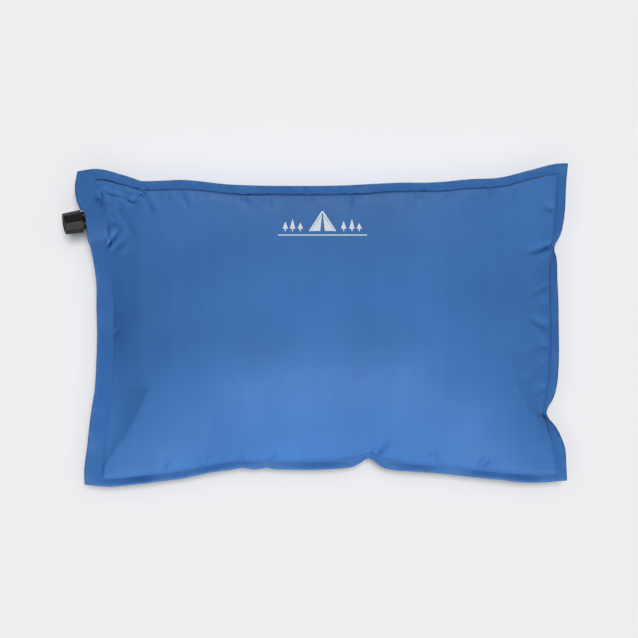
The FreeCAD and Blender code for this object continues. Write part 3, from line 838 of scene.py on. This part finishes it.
class Nodes:
    """A short way to write a node tree. Coordinates are the object's own, in metres."""

    def __init__(self, name):
        self.material = bpy.data.materials.new(name)
        self.material.use_nodes = True
        self.tree = self.material.node_tree
        self.shader = self.tree.nodes["Principled BSDF"]
        self.place = self.tree.nodes.new("ShaderNodeTexCoord").outputs["Object"]

    def put(self, socket, value):
        if isinstance(value, bpy.types.NodeSocket):
            self.tree.links.new(value, socket)
        else:
            socket.default_value = value

    def stretched(self, x, y, z):
        node = self.tree.nodes.new("ShaderNodeMapping")
        self.put(node.inputs["Vector"], self.place)
        node.inputs["Scale"].default_value = (x, y, z)
        return node.outputs["Vector"]

    def noise(self, scale, detail=3.0, vector=None):
        node = self.tree.nodes.new("ShaderNodeTexNoise")
        node.inputs["Scale"].default_value = scale
        node.inputs["Detail"].default_value = detail
        self.put(node.inputs["Vector"], vector or self.place)
        return node.outputs["Fac"]

    def math(self, operation, a, b):
        node = self.tree.nodes.new("ShaderNodeMath")
        node.operation = operation
        self.put(node.inputs[0], a)
        self.put(node.inputs[1], b)
        return node.outputs[0]

    def times(self, a, b):
        return self.math("MULTIPLY", a, b)

    def between(self, value, low, high):
        """value, from 0 to 1, stretched to run from low to high."""
        node = self.tree.nodes.new("ShaderNodeMapRange")
        self.put(node.inputs["Value"], value)
        node.inputs["To Min"].default_value, node.inputs["To Max"].default_value = low, high
        return node.outputs["Result"]

    def contrast(self, value, low, high):
        """value with everything under low at 0 and everything over high at 1."""
        node = self.tree.nodes.new("ShaderNodeMapRange")
        self.put(node.inputs["Value"], value)
        node.inputs["From Min"].default_value, node.inputs["From Max"].default_value = low, high
        return node.outputs["Result"]

    def mix(self, share, a, b):
        node = self.tree.nodes.new("ShaderNodeMix")
        node.data_type = "RGBA"
        self.put(node.inputs["Factor"], share)
        self.put(node.inputs[6], a)
        self.put(node.inputs[7], b)
        return node.outputs[2]

    def mark(self, name):
        node = self.tree.nodes.new("ShaderNodeAttribute")
        node.attribute_name = name
        return node.outputs["Fac"]

    def wave(self, vector, scale):
        node = self.tree.nodes.new("ShaderNodeTexWave")
        node.inputs["Scale"].default_value = scale
        self.put(node.inputs["Vector"], vector)
        return node.outputs["Fac"]

    def bump(self, height, strength, distance):
        node = self.tree.nodes.new("ShaderNodeBump")
        node.inputs["Strength"].default_value = strength
        node.inputs["Distance"].default_value = distance
        self.put(node.inputs["Height"], height)
        self.put(self.shader.inputs["Normal"], node.outputs["Normal"])

    def set(self, **values):
        for key, value in values.items():
            self.put(self.shader.inputs[key.replace("_", " ")], value)


def fabric(name, base, light, dark, seam):
    """Coated polyester: fine plain weave, soft sheen, faint lighter stripes along y that are painted
    wrinkle shade, a worn outer rim, and a margin that is darker partly for its fused layers and
    partly as painted shade.
    """
    t = Nodes(name)
    threads = t.times(t.wave(t.stretched(1, 0, 0), 340), t.wave(t.stretched(0, 1, 0), 340))
    # Painted shade: faint lighter stripes along y, painted in place of the light and shade of faint
    # wrinkles.
    painted_wrinkle_shade = t.noise(1.0, 2.0, t.stretched(160, 7, 7))
    cloud = t.noise(14, 3.0)
    colour = t.mix(t.contrast(cloud, 0.32, 0.68), base, dark)
    colour = t.mix(t.times(t.contrast(painted_wrinkle_shade, 0.42, 0.75), 0.08), colour, light)
    colour = t.mix(t.times(threads, 0.10), colour, light)
    # Darker margin: partly the welded margin's own darker tone, partly painted shade where shade
    # falls on the flanges.
    colour = t.mix(t.times(t.mark("margin"), 0.40), colour, seam)
    colour = t.mix(t.times(t.mark("weld_line"), 0.12), colour, seam)
    worn = t.times(t.mark("rim"), t.contrast(t.noise(160, 4.0), 0.42, 0.66))
    colour = t.mix(t.times(worn, 0.45), colour, light)
    patchy = t.between(t.noise(60, 4.0), 0.50, 0.64)
    rough = t.math("SUBTRACT", patchy, t.times(t.mark("margin"), 0.06))
    t.set(Base_Color=colour, Roughness=rough, Sheen_Weight=0.04, Sheen_Roughness=0.45,
          Sheen_Tint=light, Specular_IOR_Level=0.15)
    crumple = t.times(t.noise(230, 5.0), 0.5)
    t.bump(t.math("ADD", t.times(threads, 0.35), crumple), 0.35, 0.00035)
    return t.material


def ink():
    """Screen print: a thin, slightly chalky film with pinholes where the weave shows through."""
    t = Nodes("print_ink")
    pinholes = t.contrast(t.noise(1500, 2.0), 0.30, 0.42)
    colour = t.mix(pinholes, linear(160, 200, 240), linear(236, 246, 255))
    t.set(Base_Color=colour, Roughness=t.between(t.noise(300), 0.5, 0.7))
    t.bump(t.noise(1200, 3.0), 0.2, 0.0001)
    return t.material


def film():
    """The fused coating, slightly glossy."""
    t = Nodes("weld_coating")
    colour = t.mix(t.noise(120), linear(70, 110, 150), linear(98, 140, 178))
    t.set(Base_Color=colour, Roughness=t.between(t.noise(200), 0.3, 0.45))
    t.bump(t.noise(400, 3.0), 0.2, 0.0001)
    return t.material


def foam():
    """Cream open-cell foam, with cells of about a millimetre."""
    t = Nodes("open_cell_foam")
    cells = t.tree.nodes.new("ShaderNodeTexVoronoi")
    cells.inputs["Scale"].default_value = 900
    t.put(cells.inputs["Vector"], t.place)
    colour = t.mix(cells.outputs["Distance"], linear(222, 214, 180), linear(168, 158, 122))
    colour = t.mix(t.contrast(t.noise(30), 0.35, 0.7), colour, linear(205, 192, 150))
    t.set(Base_Color=colour, Roughness=t.between(t.noise(300), 0.85, 0.97))
    t.bump(cells.outputs["Distance"], 0.6, 0.0008)
    return t.material


def plastic(name, base, worn, rough, grain):
    """Moulded plastic: fine spark-eroded grain, slow gloss variation, scuffs that catch light."""
    t = Nodes(name)
    scuffs = t.contrast(t.noise(420, 6.0, t.stretched(1, 1.6, 1)), 0.58, 0.72)
    colour = t.mix(t.times(scuffs, 0.5), base, worn)
    colour = t.mix(t.times(t.noise(45), 0.35), colour, worn)
    t.set(Base_Color=colour, Roughness=t.between(t.noise(260, 5.0), rough[0], rough[1]),
          Specular_IOR_Level=0.2)
    t.bump(t.noise(2600, 3.0), grain, 0.0001)
    return t.material


def rubber():
    """Black rubber with a dusty bloom."""
    t = Nodes("seal_rubber")
    colour = t.mix(t.noise(400, 4.0), linear(26, 26, 27), linear(44, 43, 42))
    t.set(Base_Color=colour, Roughness=t.between(t.noise(700), 0.55, 0.75))
    t.bump(t.noise(1500, 3.0), 0.2, 0.0001)
    return t.material


def give(obj, material):
    obj.data.materials.clear()
    obj.data.materials.append(material)


# ---------------------------------------------------------------- stage, light and camera
def floor():
    """A plain pale floor."""
    obj = new_object("floor", [(-9, -9, 0), (9, -9, 0), (9, 9, 0), (-9, 9, 0)], [(0, 1, 2, 3)])
    t = Nodes("pale_floor")
    colour = t.mix(t.noise(3), linear(246, 246, 246), linear(243, 243, 243))
    t.set(Base_Color=colour, Roughness=t.between(t.noise(8), 0.78, 0.88), Specular_IOR_Level=0.2)
    give(obj, t.material)
    obj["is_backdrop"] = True
    return obj


def softbox(name, place, size, power, lit, target=(0, 0, 0.03)):
    """A round soft light for the objects in lit."""
    lamp = bpy.data.lights.new(name, "AREA")
    lamp.shape, lamp.size, lamp.energy = "DISK", size, power
    obj = bpy.data.objects.new(name, lamp)
    obj.location = place
    aim = Vector(target) - Vector(place)
    obj.rotation_euler = aim.to_track_quat("-Z", "Y").to_euler()
    bpy.context.scene.collection.objects.link(obj)
    obj.light_linking.receiver_collection = lit
    return obj


def group(name, objects):
    collection = bpy.data.collections.new(name)
    for obj in objects:
        collection.objects.link(obj)
    return collection


def studio(ground):
    """Lights for the pillow from the front and from low behind, even ones for the floor, and a pale
    sky that the camera sees brighter than it shines."""
    pillow = group("lit_as_pillow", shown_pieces())
    floor_only = group("floor_only", [ground])
    softbox("key", (0.10, -1.50, 1.94), 0.8, 57, pillow)
    softbox("back", (0.1, 2.1, 0.32), 0.4, 25, pillow)
    softbox("overhead", (0, 0, 3.2), 4.5, 40, floor_only)
    even = bpy.data.objects.new("even", bpy.data.lights.new("even", "SUN"))
    even.data.energy, even.data.angle = 2.11, 0.30
    even.rotation_euler = Vector((-0.05, -0.10, -1)).to_track_quat("-Z", "Y").to_euler()
    even.light_linking.receiver_collection = floor_only
    bpy.context.scene.collection.objects.link(even)
    world = bpy.data.worlds.new("studio")
    bpy.context.scene.world = world
    world.use_nodes = True
    tree = world.node_tree
    seen = tree.nodes.new("ShaderNodeLightPath").outputs["Is Camera Ray"]
    strength = tree.nodes.new("ShaderNodeMapRange")
    tree.links.new(seen, strength.inputs["Value"])
    strength.inputs["To Min"].default_value, strength.inputs["To Max"].default_value = 0.012, 0.66
    tree.links.new(strength.outputs["Result"], tree.nodes["Background"].inputs["Strength"])
    tree.nodes["Background"].inputs["Color"].default_value = (1, 1, 1, 1)
    bpy.context.scene.view_settings.view_transform = "Standard"


def camera():
    """Straight down on the pillow from far above, as wide as the view it was seen in."""
    data = bpy.data.cameras.new("photo_view")
    height, across = 2.2, 0.625  # above the floor, and the width in view at the seam's height
    data.sensor_width = 36
    data.lens = data.sensor_width * (height - SEAM_Z) / across
    data.clip_start, data.clip_end = 0.05, 60
    obj = bpy.data.objects.new("photo_view", data)
    obj.location = (-0.0034, 0.0069, height)
    bpy.context.scene.collection.objects.link(obj)
    bpy.context.scene.camera = obj


def main():
    g, P = inflate()
    pinch(g, P)
    ripple(g, P)
    facet(g, P)
    crease(g, P)
    top, under = covers(g, P)
    band = weld_band(g, P)
    block = foam_block(g, P)
    tent = camp_print(top)
    # Fabric tones: base, lighter, darker, and the welded tone, which the weld line takes and which
    # darkens the margin, partly as painted shade.
    for obj, name, tones in (
        (top, "upper_fabric", ((70, 125, 195), (93, 150, 213), (64, 117, 185), (42, 92, 155))),
        (under, "lower_fabric", ((70, 119, 187), (92, 142, 203), (64, 111, 177), (40, 86, 146))),
    ):
        give(obj, fabric(name, *(linear(*tone) for tone in tones)))
    give(band, film())
    give(block, foam())
    give(tent, ink())
    nodes = frame["nodes"]
    for node, name, base, worn, rough, grain in (
        ("valve_body", "valve_plastic", (14, 14, 16), (40, 40, 43), (0.22, 0.36), 0.12),
        ("valve_post", "post_plastic", (120, 121, 124), (150, 150, 152), (0.3, 0.45), 0.12),
        ("valve_knob", "knob_plastic", (11, 11, 13), (33, 33, 36), (0.42, 0.56), 0.3),
    ):
        give(nodes[node], plastic(name, linear(*base), linear(*worn), rough, grain))
    for seal in ("stem_o_ring", "knob_gasket"):
        give(nodes[seal], rubber())
    studio(floor())
    camera()


main()
